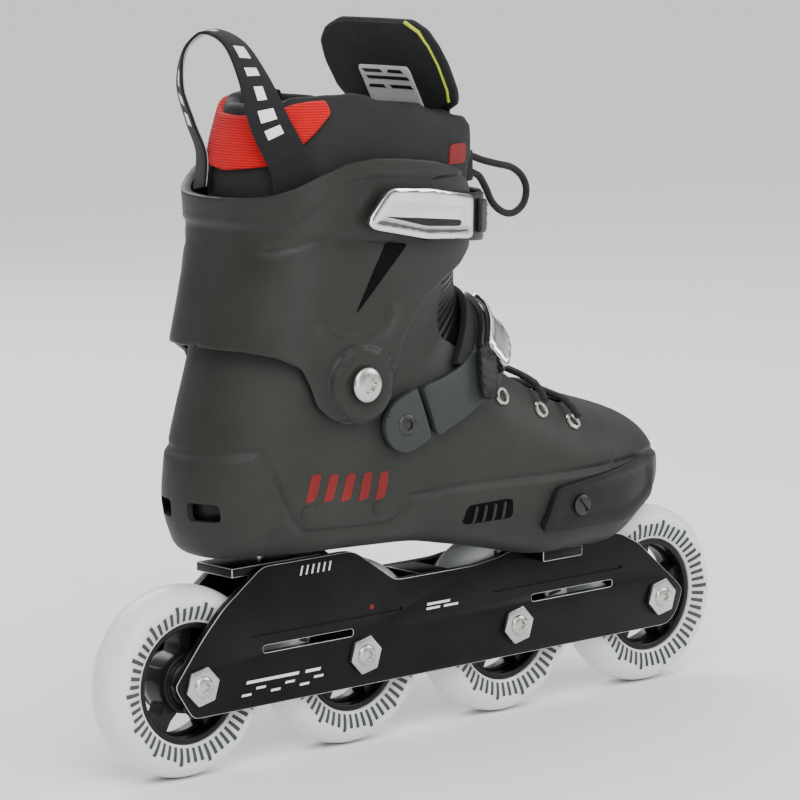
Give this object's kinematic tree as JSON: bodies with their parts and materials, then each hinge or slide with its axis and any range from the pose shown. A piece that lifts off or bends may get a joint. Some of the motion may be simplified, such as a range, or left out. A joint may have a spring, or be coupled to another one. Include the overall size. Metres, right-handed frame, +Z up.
{
  "type": "inline skate",
  "caption": "Hard-boot inline skate with a hinged cuff, buckled straps, padded liner and a row of wheels in an aluminium frame.",
  "frame": {"origin": "on the ground under the middle of the skate, in the wheels' plane", "axes": "+X towards the toe, +Y towards the inner (left) side, +Z up"},
  "size_m": [0.381, 0.1144, 0.3417],
  "materials": {
    "shell_plastic": "fine pebbled, matt, dark olive grey",
    "arm_plastic": "matt, bluish dark grey",
    "black_plastic": "satin black",
    "core_plastic": "semi-gloss black",
    "chrome": "polished",
    "steel": "machined, satin",
    "black_anodised": "black anodised, satin, bright edges",
    "liner_leather": "black synthetic leather with a red ribbed heel patch",
    "liner_cloth": "black woven cloth",
    "webbing": "black woven tape and cord",
    "urethane": "translucent white cast urethane"
  },
  "bodies": {
    "boot": {"boot_shell": "shell_plastic", "frame": "black_anodised", "frame_bolt_heel": "steel", "frame_bolt_ball_right": "steel", "frame_bolt_ball_left": "steel", "toe_slider_right": "black_plastic", "toe_slider_left": "black_plastic", "slider_screw_right": "steel", "slider_screw_left": "steel", "hinge_bolt_right": "steel", "hinge_bolt_left": "steel", "eyelet_right_1": "steel", "eyelet_right_2": "steel", "eyelet_right_3": "steel", "eyelet_left_1": "steel", "eyelet_left_2": "steel", "eyelet_left_3": "steel", "liner_foot": "liner_leather", "insole": "liner_cloth", "shell_lace": "webbing", "instep_arm_foot": "arm_plastic", "instep_arm_screw": "steel", "instep_ladder_anchor": "steel", "wheel_1_spacer": "steel", "wheel_1_axle": "steel", "wheel_2_spacer": "steel", "wheel_2_axle": "steel", "wheel_3_spacer": "steel", "wheel_3_axle": "steel", "wheel_4_spacer": "steel", "wheel_4_axle": "steel"},
    "wheel_1": {"wheel_1_tyre": "urethane", "wheel_1_core": "core_plastic", "wheel_1_bearing_right": "steel", "wheel_1_bearing_left": "steel"},
    "wheel_2": {"wheel_2_tyre": "urethane", "wheel_2_core": "core_plastic", "wheel_2_bearing_right": "steel", "wheel_2_bearing_left": "steel"},
    "wheel_3": {"wheel_3_tyre": "urethane", "wheel_3_core": "core_plastic", "wheel_3_bearing_right": "steel", "wheel_3_bearing_left": "steel"},
    "wheel_4": {"wheel_4_tyre": "urethane", "wheel_4_core": "core_plastic", "wheel_4_bearing_right": "steel", "wheel_4_bearing_left": "steel"},
    "cuff_body": {"cuff": "shell_plastic", "cuff_buckle_base": "black_plastic", "cuff_strap_anchor": "black_plastic", "liner_collar": "liner_leather", "tongue": "liner_cloth", "pull_loop": "webbing", "lace_loop": "webbing"},
    "cuff_lever_body": {"cuff_lever": "chrome"},
    "cuff_strap_body": {"cuff_strap": "black_plastic"},
    "instep_arm_body": {"instep_arm": "arm_plastic", "instep_buckle_base": "black_plastic"},
    "instep_lever_body": {"instep_lever": "chrome"},
    "instep_ladder_body": {"instep_ladder": "black_plastic"}
  },
  "joints": [
    {"name": "wheel_1_spin", "type": "hinge", "parent": "boot", "child": "wheel_1", "pos_m": [-0.1455, 0, 0.045], "axis": [0, 1, 0], "continuous": true},
    {"name": "wheel_2_spin", "type": "hinge", "parent": "boot", "child": "wheel_2", "pos_m": [-0.0485, 0, 0.045], "axis": [0, 1, 0], "continuous": true},
    {"name": "wheel_3_spin", "type": "hinge", "parent": "boot", "child": "wheel_3", "pos_m": [0.0485, 0, 0.045], "axis": [0, 1, 0], "continuous": true},
    {"name": "wheel_4_spin", "type": "hinge", "parent": "boot", "child": "wheel_4", "pos_m": [0.1455, 0, 0.045], "axis": [0, 1, 0], "continuous": true},
    {"name": "cuff_hinge", "type": "hinge", "parent": "boot", "child": "cuff_body", "pos_m": [-0.0726, 0, 0.18], "axis": [0, 1, 0], "range_deg": [-4, 10]},
    {"name": "cuff_lever_hinge", "type": "hinge", "parent": "cuff_body", "child": "cuff_lever_body", "pos_m": [-0.0052, -0.0493, 0.252], "axis": [0, 0, 1], "range_deg": [0, 100]},
    {"name": "cuff_strap_hinge", "type": "hinge", "parent": "cuff_body", "child": "cuff_strap_body", "pos_m": [-0.011, 0.0482, 0.25], "axis": [0, 0, 1], "range_deg": [0, 70], "deforming": ["lace_loop"]},
    {"name": "instep_arm_hinge", "type": "hinge", "parent": "boot", "child": "instep_arm_body", "pos_m": [-0.0317, -0.0472, 0.1624], "axis": [0.2909, 0, -0.9567], "range_deg": [0, 35]},
    {"name": "instep_lever_hinge", "type": "hinge", "parent": "instep_arm_body", "child": "instep_lever_body", "pos_m": [0.0306, -0.0082, 0.2032], "axis": [-0.7071, 0, 0.7071], "range_deg": [0, 68]},
    {"name": "instep_ladder_hinge", "type": "hinge", "parent": "boot", "child": "instep_ladder_body", "pos_m": [-0.0305, 0.0466, 0.1628], "axis": [-0.2751, 0, 0.9614], "range_deg": [0, 60]}
  ]
}
